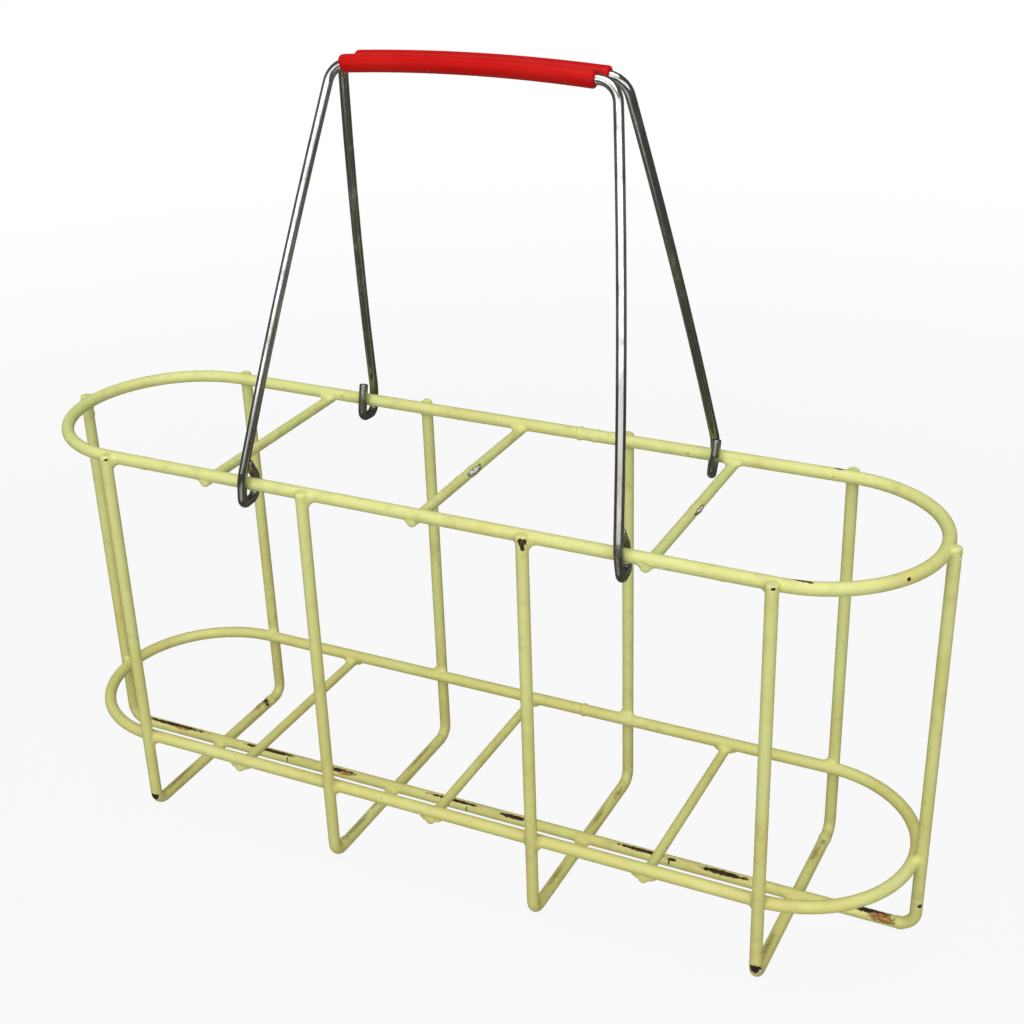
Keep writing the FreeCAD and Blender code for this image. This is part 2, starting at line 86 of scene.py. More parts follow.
def add(tree, kind, inputs=(), **settings):
    """Add a node. inputs maps a socket's name or number to a value or to another socket."""
    item = tree.nodes.new(kind)
    for key, value in settings.items():
        setattr(item, key, value)
    for key, value in dict(inputs).items():
        socket = item.inputs[key]
        if isinstance(value, bpy.types.NodeSocket):
            tree.links.new(value, socket)
        else:
            socket.default_value = value
    return item


def maths(tree, operation, first, second=0.0, third=0.0, clamp=False):
    """One arithmetic step on sockets or numbers."""
    values = {0: first, 1: second, 2: third}
    item = add(tree, "ShaderNodeMath", values, operation=operation, use_clamp=clamp)
    return item.outputs[0]


def remap(tree, value, low, high, to_low=0.0, to_high=1.0):
    """Stretch a socket's range from low..high to to_low..to_high, smoothly and clamped."""
    inputs = {0: value, 1: low, 2: high, 3: to_low, 4: to_high}
    item = add(tree, "ShaderNodeMapRange", inputs, interpolation_type="SMOOTHSTEP")
    return item.outputs[0]


def mix(tree, share, first, second):
    """Blend two colours by a share between 0 and 1.

    The node has a set of sockets for each kind of value. Inputs 6 and 7 and output 2 are colours.
    """
    item = add(tree, "ShaderNodeMix", {0: share, 6: first, 7: second}, data_type="RGBA")
    return item.outputs[2]


def blank_material(name):
    """A material with an empty graph, its surface shader and its Object coordinates."""
    material = bpy.data.materials.new(name)
    material.use_nodes = True
    tree = material.node_tree
    shader = next(item for item in tree.nodes if item.type == "BSDF_PRINCIPLED")
    place = add(tree, "ShaderNodeTexCoord").outputs["Object"]
    return material, tree, shader, place


print("helpers:", [helper.__name__ for helper in (add, maths, remap, mix, blank_material)])

# %% [markdown]
# Worn surfaces are patchy, and the patches come from noise. Noise is soft and grey everywhere, so
# it is cut: below one value there is no patch, above another the patch is full. Single marks and
# pools of light have a known place instead, and there the graph measures how far away that is.

# %% Helpers for patches, places and bumps


def noise(tree, place, scale, detail=2.0, roughness=0.5):
    """Soft random values; scale is in features per metre."""
    inputs = {"Vector": place, "Scale": scale, "Detail": detail, "Roughness": roughness}
    return add(tree, "ShaderNodeTexNoise", inputs).outputs["Fac"]


def patches(tree, place, scale, detail, roughness, starts, full, share):
    """Noise cut into patches: none where it is under starts, and share where it is over full."""
    return remap(tree, noise(tree, place, scale, detail, roughness), starts, full, 0.0, share)


def reach_from(tree, place, middle, half):
    """Distance from a middle, counted in half-lengths along each axis, so 1 is the edge."""
    stretch = [1.0/side for side in half]
    away = add(tree, "ShaderNodeVectorMath", {0: place, 1: middle}, operation="SUBTRACT")
    scaled = add(tree, "ShaderNodeVectorMath", {0: away.outputs[0], 1: stretch}, operation="MULTIPLY")
    length = add(tree, "ShaderNodeVectorMath", {0: scaled.outputs[0]}, operation="LENGTH")
    return length.outputs["Value"]


def bump_surface(tree, shader, height, strength, depth):
    """Let a height play over the surface; depth is in metres."""
    bump = add(tree, "ShaderNodeBump", {"Height": height, "Strength": strength, "Distance": depth})
    tree.links.new(bump.outputs[0], shader.inputs["Normal"])


print("helpers:", [helper.__name__ for helper in (noise, patches, reach_from, bump_surface)])

# %% [markdown]
# The stage is a plain matte floor. It runs past every edge of the picture, so that the basket
# stands in its own soft shadow. A single flat face is enough for that.

# %% Floor
FLOOR_HALF = 8.0

floor_shape = bmesh.new()
bmesh.ops.create_grid(floor_shape, x_segments=1, y_segments=1, size=FLOOR_HALF)
floor_mesh = bpy.data.meshes.new("floor")
floor_shape.to_mesh(floor_mesh)
floor_shape.free()
floor = bpy.data.objects.new("floor", floor_mesh)
bpy.context.scene.collection.objects.link(floor)
print("floor spans", 2*FLOOR_HALF, "m")

# %% [markdown]
# Lamps strong enough to turn the floor white would bleach the basket too. So the floor is a middle
# grey, and for the camera a share of plain white is laid over it, which turns the background white
# without putting more light on the object. In reflections the floor is dark, as the handles show:
# every wire of theirs that mirrors the ground is nearly black. Only one strip of the floor in front
# of the basket is bright there, which gives the hooks their thin upright gleam.

# %% The floor's material
WHITE = (1.0, 1.0, 1.0, 1.0)
FLOOR_GREY = (0.45, 0.45, 0.45, 1.0)
FLOOR_ROUGHNESS = 0.9
WHITE_REACH = (0.35, 1.3)
WHITE_SHARE = (0.91, 1.0)
MIRROR_TINT = (1.0, 1.0, 0.95, 1.0)
MIRROR_GLOW = (0.11, 0.75)
STRIP_MIDDLE = (-0.05, -0.41, 0.0)
STRIP_HALF = (0.26, 0.15, 1.0)
STRIP_EDGE = (1.2, 0.7)

paper, paper_tree, paper_shader, paper_place = blank_material("floor_white")
paper_shader.inputs["Base Color"].default_value = FLOOR_GREY
paper_shader.inputs["Roughness"].default_value = FLOOR_ROUGHNESS
paper_shader.inputs["Specular IOR Level"].default_value = 0.0
rays = add(paper_tree, "ShaderNodeLightPath")
white = add(paper_tree, "ShaderNodeEmission", {"Color": WHITE, "Strength": 1.0})
away = add(paper_tree, "ShaderNodeVectorMath", {0: paper_place}, operation="LENGTH")
share = remap(paper_tree, away.outputs["Value"], *WHITE_REACH, *WHITE_SHARE)
seen = maths(paper_tree, "MULTIPLY", rays.outputs["Is Camera Ray"], share)
shown = add(paper_tree, "ShaderNodeMixShader",
            {0: seen, 1: paper_shader.outputs[0], 2: white.outputs[0]})
strip = reach_from(paper_tree, paper_place, STRIP_MIDDLE, STRIP_HALF)
glow = remap(paper_tree, strip, *STRIP_EDGE, *MIRROR_GLOW)
mirrored = add(paper_tree, "ShaderNodeEmission", {"Color": MIRROR_TINT, "Strength": glow})
reflected = add(paper_tree, "ShaderNodeMixShader",
                {0: rays.outputs["Is Glossy Ray"], 1: shown.outputs[0], 2: mirrored.outputs[0]})
paper_output = next(item for item in paper_tree.nodes if item.type == "OUTPUT_MATERIAL")
paper_tree.links.new(reflected.outputs[0], paper_output.inputs["Surface"])
floor_mesh.materials.append(paper)
print("bright strip on the floor:", [2*side for side in STRIP_HALF[:2]], "m across")

# %% [markdown]
# The light is read off the wires. The rails are brightest a little below their tops, so the main
# lamp hangs high and just in front. The steel of the front handle mirrors a broad bright band that
# begins at the horizon, so three tall panels stand side by side round the camera, like a curved
# wall. Everything else is dim, which draws the dark line along both edges of each wire.

# %% Lamps
LAMP_TARGET = Vector((0.0, 0.0, 0.15))
ABOVE_PLACE = (-80.0, 74.0, 2.3)
ABOVE_SIZE = (1.9, 1.9)
ABOVE_POWER = 36.0
PANEL_TURNS = (-105.0, -69.0, -33.0)
PANEL_RISE = 21.0
PANEL_DISTANCE = 2.2
PANEL_SIZE = (1.43, 1.2)
PANEL_POWER = 9.3


def soft_lamp(name, place, size, power):
    """A rectangular area lamp that faces the basket, size in metres.

    Its place is an azimuth and an elevation in degrees and a distance in metres.
    """
    azimuth, elevation, distance = place
    data = bpy.data.lights.new(name, "AREA")
    data.shape = "RECTANGLE"
    data.size, data.size_y = size
    data.energy = power
    lamp = bpy.data.objects.new(name, data)
    level = math.cos(math.radians(elevation))
    turn = math.radians(azimuth)
    outward = Vector((level*math.cos(turn), level*math.sin(turn), math.sin(math.radians(elevation))))
    lamp.location = LAMP_TARGET + outward*distance
    lamp.rotation_euler = outward.to_track_quat("Z", "Y").to_euler()
    bpy.context.scene.collection.objects.link(lamp)


soft_lamp("lamp_above", ABOVE_PLACE, ABOVE_SIZE, ABOVE_POWER)
for number, azimuth in enumerate(PANEL_TURNS, start=1):
    soft_lamp(f"panel_{number}", (azimuth, PANEL_RISE, PANEL_DISTANCE), PANEL_SIZE, PANEL_POWER)

# %% World
WORLD_DIM = (0.11, 0.11, 0.115, 1.0)

world = bpy.data.worlds.new("studio")
world.use_nodes = True
bpy.context.scene.world = world
world_tree = world.node_tree
sky = next(item for item in world_tree.nodes if item.type == "BACKGROUND")
sky_rays = add(world_tree, "ShaderNodeLightPath").outputs["Is Camera Ray"]
world_tree.links.new(mix(world_tree, sky_rays, WORLD_DIM, WHITE), sky.inputs["Color"])
print("the world's light is", WORLD_DIM[0], "of the white that the camera sees")

# %% [markdown]
# The coat is a soft plastic dip, and what makes it real is its damage. Each chip has its own place,
# so a chip is described by its middle, its half-lengths along the three axes and what shows there:
# black iron, rust, bare steel set as bright as its glint (a painted highlight), or only a scuff on
# the sound coat. Some marks in the list are painted light and no chips at all: a bright steel spot
# on one leg's top is a painted highlight on the coat, and three thin iron bands on the floor wire
# are painted shadows of the bottom dividers. The chips could be painted into an image, but a list
# like this one stays sharp from any distance and can be mended by hand.

# %% Chips: where the coat has gone, with painted highlights and shadows

# The wire, then each chip's middle and half-lengths in millimetres, and what shows.
CHIPS = {
    "leg_frame_1": [
        ((-149.9, -56.0, 6.9), (1.9, 1.6, 1.9), "iron"),
        # bare steel set as bright as its glint: a painted highlight
        ((-148.3, -55.4, 5.6), (0.5, 1.1, 1.2), "steel"),
        ((-150.4, 39.6, 5.3), (1.7, 1.5, 1.2), "iron"),
        ((-148.6, 38.2, 4.4), (0.8, 0.7, 1.5), "iron"),
        ((-150.8, 34.0, 5.0), (1.6, 7.0, 1.8), "scuff"),
        ((-150.4, -34.0, 5.2), (1.5, 15.0, 1.6), "scuff"),
        ((-150.0, -41.0, 5.2), (0.9, 3.5, 1.0), "scuff"),
        ((-148.9, -55.5, 184.3), (0.6, 1.0, 0.45), "iron"),
    ],
    "leg_frame_2": [
        ((-50.0, -34.0, 5.1), (1.3, 12.0, 1.4), "scuff"),
        ((-50.4, -14.0, 5.2), (1.2, 8.0, 1.2), "scuff"),
        ((-50.2, 26.0, 5.2), (1.3, 14.0, 1.4), "scuff"),
        ((-48.6, 53.4, 169.6), (0.5, 0.9, 1.0), "iron"),
    ],
    "leg_frame_3": [
        ((50.8, -56.2, 183.6), (1.0, 0.9, 1.4), "iron"),
        ((52.2, -55.6, 183.6), (1.0, 0.9, 1.4), "iron"),
        ((51.5, -56.0, 182.0), (0.75, 0.9, 1.9), "iron"),
        ((50.3, -30.0, 5.2), (1.3, 12.0, 1.4), "scuff"),
        ((50.5, 16.0, 5.2), (1.2, 10.0, 1.4), "scuff"),
        ((51.6, 38.0, 4.8), (1.2, 6.0, 1.4), "scuff"),
    ],
    "leg_frame_4": [
        # a painted highlight on a ridge of the coat, listed as steel
        ((151.7, -55.9, 185.3), (0.9, 0.9, 0.32), "steel"),
        ((151.9, -56.1, 184.3), (0.9, 0.9, 0.55), "iron"),
        ((151.3, -55.9, 8.3), (2.0, 1.6, 2.1), "iron"),
        # bare steel set as bright as its glint: a painted highlight
        ((153.1, -54.7, 6.8), (0.5, 1.1, 1.3), "steel"),
        ((151.2, 40.6, 5.0), (1.5, 2.2, 1.5), "scuff"),
        ((150.6, 31.0, 5.2), (1.6, 8.0, 1.5), "scuff"),
        ((150.4, -38.0, 5.2), (1.4, 12.0, 1.4), "scuff"),
        ((152.9, -54.0, 16.5), (0.6, 1.0, 0.5), "scuff"),
        ((148.2, 54.6, 168.0), (0.5, 0.6, 0.9), "iron"),
    ],
    "end_frame": [
        ((-178.5, -0.7, 7.2), (16.0, 0.9, 0.9), "iron"),
        ((-174.0, -1.6, 6.7), (4.0, 0.5, 0.6), "rust"),
        ((-120.5, -0.8, 7.2), (13.0, 0.9, 0.9), "iron"),
        ((-78.4, -1.4, 6.8), (7.0, 1.0, 1.1), "iron"),
        ((-76.0, -1.9, 6.4), (3.4, 0.7, 0.9), "rust"),
        ((-16.5, -1.0, 7.1), (12.0, 0.8, 0.8), "iron"),
        ((14.4, -1.3, 6.8), (7.0, 0.9, 1.1), "iron"),
        ((79.5, -0.9, 7.1), (10.5, 0.8, 0.8), "iron"),
        ((94.0, -1.4, 6.8), (1.8, 0.6, 0.7), "iron"),
        ((118.0, -1.2, 6.9), (10.0, 1.0, 1.2), "iron"),
        ((183.0, -0.3, 7.2), (9.0, 1.2, 1.0), "iron"),
        ((189.6, -1.7, 6.0), (5.4, 1.3, 1.9), "rust"),
        # painted shadows of the three bottom dividers, laid on the floor wire as thin iron bands
        ((-109.6, -2.4, 5.6), (0.3, 1.4, 1.4), "iron"),
        ((-9.1, -2.5, 5.0), (0.3, 1.4, 1.6), "iron"),
        ((93.0, -2.3, 5.6), (0.3, 1.4, 1.4), "iron"),
        ((204.6, -2.0, 17.6), (1.0, 0.9, 0.9), "iron"),
        # bare steel set as bright as its glint: a painted highlight
        ((202.6, -2.5, 16.6), (2.4, 0.8, 0.3), "steel"),
    ],
    "top_divider_2": [
        ((1.8, 0.6, 181.4), (1.15, 5.4, 1.3), "iron"),
        # bare steel set as bright as its glint: a painted highlight
        ((1.8, 0.6, 181.5), (0.95, 4.6, 1.05), "steel"),
    ],
    "top_divider_3": [
        ((102.5, 1.9, 181.0), (0.9, 4.4, 1.0), "iron"),
        # bare steel set as bright as its glint: a painted highlight
        ((102.5, 1.9, 181.1), (0.6, 3.2, 0.7), "steel"),
    ],
    "top_ring": [
        ((194.3, -30.0, 184.3), (0.8, 0.7, 0.6), "iron"),
        ((-92.0, 47.4, 184.0), (0.7, 0.5, 0.7), "scuff"),
        ((80.5, 47.3, 183.2), (0.9, 0.5, 0.7), "scuff"),
        ((145.6, 50.2, 186.0), (2.0, 0.7, 0.4), "iron"),
        ((160.5, -49.0, 186.0), (3.4, 0.6, 0.4), "iron"),
        ((203.9, 4.0, 184.4), (0.6, 1.0, 0.7), "rust"),
    ],
}
print("chips:", sum(len(chips) for chips in CHIPS.values()))

# %% [markdown]
# Sound coat is nearly even in colour: a pale yellow-green that turns warmer in slow waves and
# towards the floor, with greener patches, dull handling marks and a few tiny brown pits. One noise
# could drive all of them, but then every change would fall in the same place, so each has its own.

# %% The sound coat
COAT_PALE = (0.765, 0.785, 0.300, 1.0)
COAT_WARM = (0.730, 0.690, 0.235, 1.0)
COAT_GREEN = (0.690, 0.770, 0.250, 1.0)
COAT_GRIME = (0.380, 0.340, 0.170, 1.0)
BROKEN_EDGE = (0.250, 0.150, 0.070, 1.0)
AGED_HEIGHTS = (0.16, 0.0)
AGED_SHIFT = (-0.05, 0.22)
DRIFT = {"scale": 28.0, "detail": 3.0}
WARM_SPAN = (0.42, 0.74)
GREEN_PATCHES = {"scale": 75.0, "detail": 4.0, "roughness": 0.6,
                 "starts": 0.50, "full": 0.72, "share": 0.65}
GRIME_SPAN = (0.50, 0.74)
GRIME_SHARE = (0.0, 0.30)
PITS = {"scale": 560.0, "detail": 2.0, "roughness": 0.5,
        "starts": 0.735, "full": 0.79, "share": 0.7}


def sound_coat(tree, place, handled):
    """The coat's colour where it isn't broken."""
    height = add(tree, "ShaderNodeSeparateXYZ", {0: place}).outputs["Z"]
    aged = remap(tree, height, *AGED_HEIGHTS, *AGED_SHIFT)
    age = maths(tree, "ADD", aged, noise(tree, place, **DRIFT))
    colour = mix(tree, remap(tree, age, *WARM_SPAN), COAT_PALE, COAT_WARM)
    colour = mix(tree, patches(tree, place, **GREEN_PATCHES), colour, COAT_GREEN)
    colour = mix(tree, remap(tree, handled, *GRIME_SPAN, *GRIME_SHARE), colour, COAT_GRIME)
    return mix(tree, patches(tree, place, **PITS), colour, BROKEN_EDGE)


print("the coat turns warmer below", AGED_HEIGHTS[0], "m")

# %% [markdown]
# In the graph a chip is a distance from its middle, roughened by noise, which gives a ragged edge
# that no two chips share. Just outside that edge the broken coat is brown, inside it the metal
# lies bare, and a scuff is the same distance with a soft edge and no metal. The painted highlights
# and painted shadows in the list are drawn the same way, with the same brown edge.

# %% The chipped coat
COAT_SCUFF = (0.200, 0.125, 0.050, 1.0)
METALS_AND_PAINTED_LIGHT = {
    "iron": ((0.016, 0.010, 0.007, 1.0), (0.070, 0.033, 0.014, 1.0)),
    "rust": ((0.210, 0.080, 0.022, 1.0), (0.680, 0.360, 0.100, 1.0)),
    # steel is set as bright as its glint: a painted highlight on bare metal
    "steel": ((0.740, 0.720, 0.700, 1.0), (0.940, 0.930, 0.920, 1.0)),
}
METAL_SPAN = (0.35, 0.7)
RAGGED_NOISE = {"scale": 520.0, "detail": 4.0, "roughness": 0.7}
RAGGED_SPAN = (0.2, 0.8)
RAGGED_REACH = (-0.42, 0.42)
SCUFF_EDGE = (0.1, 1.25)
SCUFF_SHARE = (0.62, 0.0)
BROKEN_REACH = (1.0, 1.28)
BROKEN_SHARE = (0.85, 0.0)
CHIP_EDGE = (0.92, 1.02)


def chipped_coat(tree, place, grain, colour, chips):
    """Lay chips, painted highlights and painted shadows over the colour. Returns it and their mask."""
    ragged = remap(tree, noise(tree, place, **RAGGED_NOISE), *RAGGED_SPAN, *RAGGED_REACH)
    bare_and_painted = None
    for middle, half, shows in chips:
        distance = reach_from(tree, place, Vector(middle)*MM, [side*MM for side in half])
        reach = maths(tree, "ADD", distance, ragged)
        if shows == "scuff":
            colour = mix(tree, remap(tree, reach, *SCUFF_EDGE, *SCUFF_SHARE), colour, COAT_SCUFF)
            continue
        dark, light = METALS_AND_PAINTED_LIGHT[shows]
        metal_and_painted = mix(tree, remap(tree, grain, *METAL_SPAN), dark, light)
        colour = mix(tree, remap(tree, reach, *BROKEN_REACH, *BROKEN_SHARE), colour, BROKEN_EDGE)
        gone_and_painted = remap(tree, reach, *CHIP_EDGE, 1.0, 0.0)
        colour = mix(tree, gone_and_painted, colour, metal_and_painted)
        bare_and_painted = gone_and_painted if bare_and_painted is None else maths(tree, "MAXIMUM", bare_and_painted, gone_and_painted)
    return colour, bare_and_painted


print("metals under the coat:", list(METALS_AND_PAINTED_LIGHT))

# %% [markdown]
# The dip has a satin skin with a slow wave in it, like orange peel. Where it has broken away the
# surface drops and turns rough. Each chipped wire gets a material of its own, because then it
# carries only its own few chips and its graph stays small. The other wires share a plain one.

# %% The coat's material
HANDLED_NOISE = {"scale": 130.0, "detail": 6.0, "roughness": 0.65}
GRAIN_NOISE = {"scale": 900.0, "detail": 3.0, "roughness": 0.6}
WAVE_NOISE = {"scale": 210.0, "detail": 3.0, "roughness": 0.5}
COAT_SPECULAR = 0.3
GLOSS_SPAN = (0.3, 0.75)
COAT_ROUGHNESS = (0.42, 0.58)
BARE_ROUGHER = 0.28
GRAIN_HEIGHT = 0.08
CHIP_DEPTH = -1.6
COAT_BUMP = 0.75
COAT_BUMP_DEPTH = 0.5*MM


def coat_material(name, chips=()):
    """The dipped coat, with the chips of one wire."""
    material, tree, shader, place = blank_material(name)
    handled = noise(tree, place, **HANDLED_NOISE)
    grain = noise(tree, place, **GRAIN_NOISE)
    sound = sound_coat(tree, place, handled)
    colour, bare_and_painted = chipped_coat(tree, place, grain, sound, chips)
    shader.inputs["Specular IOR Level"].default_value = COAT_SPECULAR
    tree.links.new(colour, shader.inputs["Base Color"])
    gloss = remap(tree, handled, *GLOSS_SPAN, *COAT_ROUGHNESS)
    height = maths(tree, "MULTIPLY_ADD", grain, GRAIN_HEIGHT, noise(tree, place, **WAVE_NOISE))
    # Where metal is bare, and under the painted highlights and shadows, the coat turns rough and
    # sinks.
    if bare_and_painted is not None:
        gloss = maths(tree, "MULTIPLY_ADD", bare_and_painted, BARE_ROUGHER, gloss, clamp=True)
        height = maths(tree, "MULTIPLY_ADD", bare_and_painted, CHIP_DEPTH, height)
    tree.links.new(gloss, shader.inputs["Roughness"])
    bump_surface(tree, shader, height, COAT_BUMP, COAT_BUMP_DEPTH)
    return material


plain_coat = coat_material("coat")
coats = {name: coat_material(f"coat_{name}", chips) for name, chips in CHIPS.items()}
coated = [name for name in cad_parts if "handle" not in name and "grip" not in name]
for node_name in coated:
    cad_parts[node_name].data.materials[0] = coats.get(node_name, plain_coat)
print("coated nodes:", len(coated))

# %% [markdown]
# The handles are bare drawn wire. Drawn wire is scratched along its length, and hands and rails
# have rubbed it, so it is bright in streaks and dull brown in between, most of all in the hook
# eyes where damp stays. Lower down the steel is made darker, and on the right side this starts higher.
# The streaks must follow the wire, which leans and bends, so they come from noise that is
# stretched along the upright direction rather than from a map of the surface.

# %% The steel's colour
STEEL_BRIGHT = (0.860, 0.850, 0.840, 1.0)
STEEL_DULL = (0.390, 0.380, 0.350, 1.0)
STEEL_LOW_DARK = (0.320, 0.315, 0.300, 1.0)
STAIN_BROWN = (0.160, 0.115, 0.075, 1.0)
WORN_SPAN = (1.05, 0.70)
TARNISH_REACH = 0.4
DARKENING_TILT = -0.2
DARKENING_HEIGHTS = (0.262, 0.215)
LOW_DARK_SHARE = (0.0, 0.9)
HOOK_SPAN = (0.186, 0.200)
DAMP_SPAN = (0.54, 0.76)
FRECKLES = {"scale": 420.0, "detail": 4.0, "roughness": 0.7,
            "starts": 0.70, "full": 0.80, "share": 0.6}
STAIN_SHARE = 0.75


def steel_colour(tree, place, dull, blotches, tarnish):
    """Streaked steel, darker low down and stained in the hooks. Returns the stain as well."""
    parts = add(tree, "ShaderNodeSeparateXYZ", {0: place}).outputs
    dullest, brightest = (value - TARNISH_REACH*tarnish for value in WORN_SPAN)
    colour = mix(tree, remap(tree, dull, dullest, brightest), STEEL_DULL, STEEL_BRIGHT)
    # Lower down the steel is made darker; on the right side this darkening starts further up.
    tilted = maths(tree, "MULTIPLY_ADD", parts["X"], DARKENING_TILT, parts["Z"])
    low_dark = remap(tree, tilted, *DARKENING_HEIGHTS, *LOW_DARK_SHARE)
    colour = mix(tree, low_dark, colour, STEEL_LOW_DARK)
    low = remap(tree, parts["Z"], *HOOK_SPAN, 1.0, 0.0)
    damp = maths(tree, "MULTIPLY", low, remap(tree, blotches, *DAMP_SPAN))
    stain = maths(tree, "MAXIMUM", damp, patches(tree, place, **FRECKLES))
    colour = mix(tree, maths(tree, "MULTIPLY", stain, STAIN_SHARE), colour, STAIN_BROWN)
    return colour, stain


print("the polish fades from", DARKENING_HEIGHTS[0], "m down to", DARKENING_HEIGHTS[1], "m")

# %% The handles' material
STREAK_STRETCH = (1.0, 1.0, 0.06)
STREAK_NOISE = {"scale": 700.0, "detail": 2.0, "roughness": 0.5}
BLOTCH_NOISE = {"scale": 60.0, "detail": 5.0, "roughness": 0.65}
FINE_NOISE = {"scale": 2600.0, "detail": 2.0, "roughness": 0.5}
STREAK_WEIGHT = 0.45
DULL_SPAN = (0.5, 0.95)
STEEL_ROUGHNESS = (0.12, 0.24)
STAIN_ROUGHER = 0.3
FINE_HEIGHT = 0.1
STEEL_BUMP = 0.02
STEEL_BUMP_DEPTH = 0.05*MM
TARNISH = {"front": 0.25, "rear": 0.7}


def steel_material(name, tarnish):
    """Drawn steel wire; tarnish is how far the dull share reaches, from 0 to 1."""
    material, tree, shader, place = blank_material(name)
    along = add(tree, "ShaderNodeMapping", {"Vector": place, "Scale": STREAK_STRETCH})
    streaks = noise(tree, along.outputs[0], **STREAK_NOISE)
    blotches = noise(tree, place, **BLOTCH_NOISE)
    dull = maths(tree, "MULTIPLY_ADD", streaks, STREAK_WEIGHT, blotches)
    colour, stain = steel_colour(tree, place, dull, blotches, tarnish)
    tree.links.new(colour, shader.inputs["Base Color"])
    shader.inputs["Metallic"].default_value = 1.0
    polish = remap(tree, dull, *DULL_SPAN, *STEEL_ROUGHNESS)
    gloss = maths(tree, "MULTIPLY_ADD", stain, STAIN_ROUGHER, polish)
    tree.links.new(gloss, shader.inputs["Roughness"])
    relief = maths(tree, "MULTIPLY_ADD", noise(tree, place, **FINE_NOISE), FINE_HEIGHT, streaks)
    bump_surface(tree, shader, relief, STEEL_BUMP, STEEL_BUMP_DEPTH)
    return material


for which, tarnish in TARNISH.items():
    steel = steel_material(f"steel_{which}", tarnish)
    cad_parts[f"{which}_handle"].data.materials[0] = steel
print("tarnish of each handle:", TARNISH)

# %% [markdown]
# The grips are soft vinyl tube pushed over the wire. Vinyl has a deep, even colour and a satin
# gloss that hands have worn unevenly, so the colour hardly changes and the roughness does. A low
# wavy bump gives the slight orange peel that breaks up the long highlight.

# %% The sleeves' material
SLEEVE_RED = (0.570, 0.003, 0.002, 1.0)
SLEEVE_FADED = (0.595, 0.009, 0.006, 1.0)
SLEEVE_SOIL = (0.280, 0.008, 0.006, 1.0)
WORN_NOISE = {"scale": 55.0, "detail": 5.0, "roughness": 0.6}
FADED_SPAN = (0.4, 0.7)
SOIL_PATCHES = {"scale": 240.0, "detail": 5.0, "roughness": 0.7,
                "starts": 0.60, "full": 0.80, "share": 0.6}
SATIN_SPAN = (0.35, 0.7)
SLEEVE_ROUGHNESS = (0.34, 0.48)
SLEEVE_SPECULAR = 0.10
SHEEN_WEIGHT = 0.12
SHEEN_ROUGHNESS = 0.35
PORE_NOISE = {"scale": 700.0, "detail": 3.0, "roughness": 0.55}
PEEL_NOISE = {"scale": 160.0, "detail": 2.0, "roughness": 0.5}
PORE_HEIGHT = 0.25
SLEEVE_BUMP = 0.3
SLEEVE_BUMP_DEPTH = 0.4*MM

sleeve, tree, shader, place = blank_material("sleeve_red")
worn = noise(tree, place, **WORN_NOISE)
faded = mix(tree, remap(tree, worn, *FADED_SPAN), SLEEVE_RED, SLEEVE_FADED)
soiled = mix(tree, patches(tree, place, **SOIL_PATCHES), faded, SLEEVE_SOIL)
tree.links.new(soiled, shader.inputs["Base Color"])
tree.links.new(remap(tree, worn, *SATIN_SPAN, *SLEEVE_ROUGHNESS), shader.inputs["Roughness"])
shader.inputs["Specular IOR Level"].default_value = SLEEVE_SPECULAR
shader.inputs["Sheen Weight"].default_value = SHEEN_WEIGHT
shader.inputs["Sheen Roughness"].default_value = SHEEN_ROUGHNESS
peel = noise(tree, place, **PEEL_NOISE)
relief = maths(tree, "MULTIPLY_ADD", noise(tree, place, **PORE_NOISE), PORE_HEIGHT, peel)
bump_surface(tree, shader, relief, SLEEVE_BUMP, SLEEVE_BUMP_DEPTH)
for node_name in ("front_grip", "rear_grip"):
    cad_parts[node_name].data.materials[0] = sleeve
print("sleeve roughness:", SLEEVE_ROUGHNESS)

# %% [markdown]
# Where two wires are welded the dipped coat pools in the crease and leaves a soft web. It is the
# surface that a small ball leaves when it rolls round the crease and touches both wires all the
# way, the same rule by which a machinist's fillet is made. Each wire is described by its core, a
# thinner rod with square ends, and a skin of even depth round it. That gives the true rounded cut
# ends of the legs and dividers as well, so the web runs up and over them.

# %% Wires as a core and a skin
RAIL_RADIUS = 2.75*MM
LEG_RADIUS = 2.6*MM
DIVIDER_RADIUS = 2.2*MM
COAT_EDGE = 1.3*MM


class Rod:
    """A straight wire. Its ends are cut square and rounded by edge."""

    def __init__(self, start, end, radius, edge):
        self.start = Vector(start)
        self.end = Vector(end)
        self.core = radius - edge
        self.skin = edge
        self.length = (self.end - self.start).length
        self.axis = (self.end - self.start).normalized()

    def nearest(self, point):
        """The point of the core that is nearest to a point outside it."""
        away = point - self.start
        along = away.dot(self.axis)
        outward = away - self.axis*along
        place = self.start + self.axis*min(max(along, 0.0), self.length)
        return place + outward.normalized()*min(outward.length, self.core)


class Bend:
    """A wire bent to a level circle, as at the round end of a ring."""

    def __init__(self, centre, turn, radius):
        self.centre = Vector(centre)
        self.turn = turn
        self.skin = radius

    def nearest(self, point):
        """The point of the centre line that is nearest to a point."""
        outward = point - self.centre
        outward.z = 0.0
        return self.centre + outward.normalized()*self.turn


print("under its rounded edge a leg's core is", round((LEG_RADIUS - COAT_EDGE)/MM, 2), "mm in radius")

# %% [markdown]
# The ball's middle has to lie one ball's radius off both wires. In each direction round the weld
# that leaves two unknowns, how far out the ball sits and how far up, and two gaps that have to be
# nothing, so Newton's rule walks it there in a few steps. A formula would do for two long round
# wires, but this walk also works at their cut ends and on the bends.

# %% Roll the ball
FIRST_OUT = 1.5*MM
TRIAL_STEP = 0.01*MM
LONGEST_STEP = 0.8*MM
MOST_STEPS = 60
CLOSE_ENOUGH = 1e-8
TOO_FLAT = 1e-6


def gap(wire, ball, point):
    """How far a ball's middle is from where it would just touch a wire."""
    return (point - wire.nearest(point)).length - wire.skin - ball


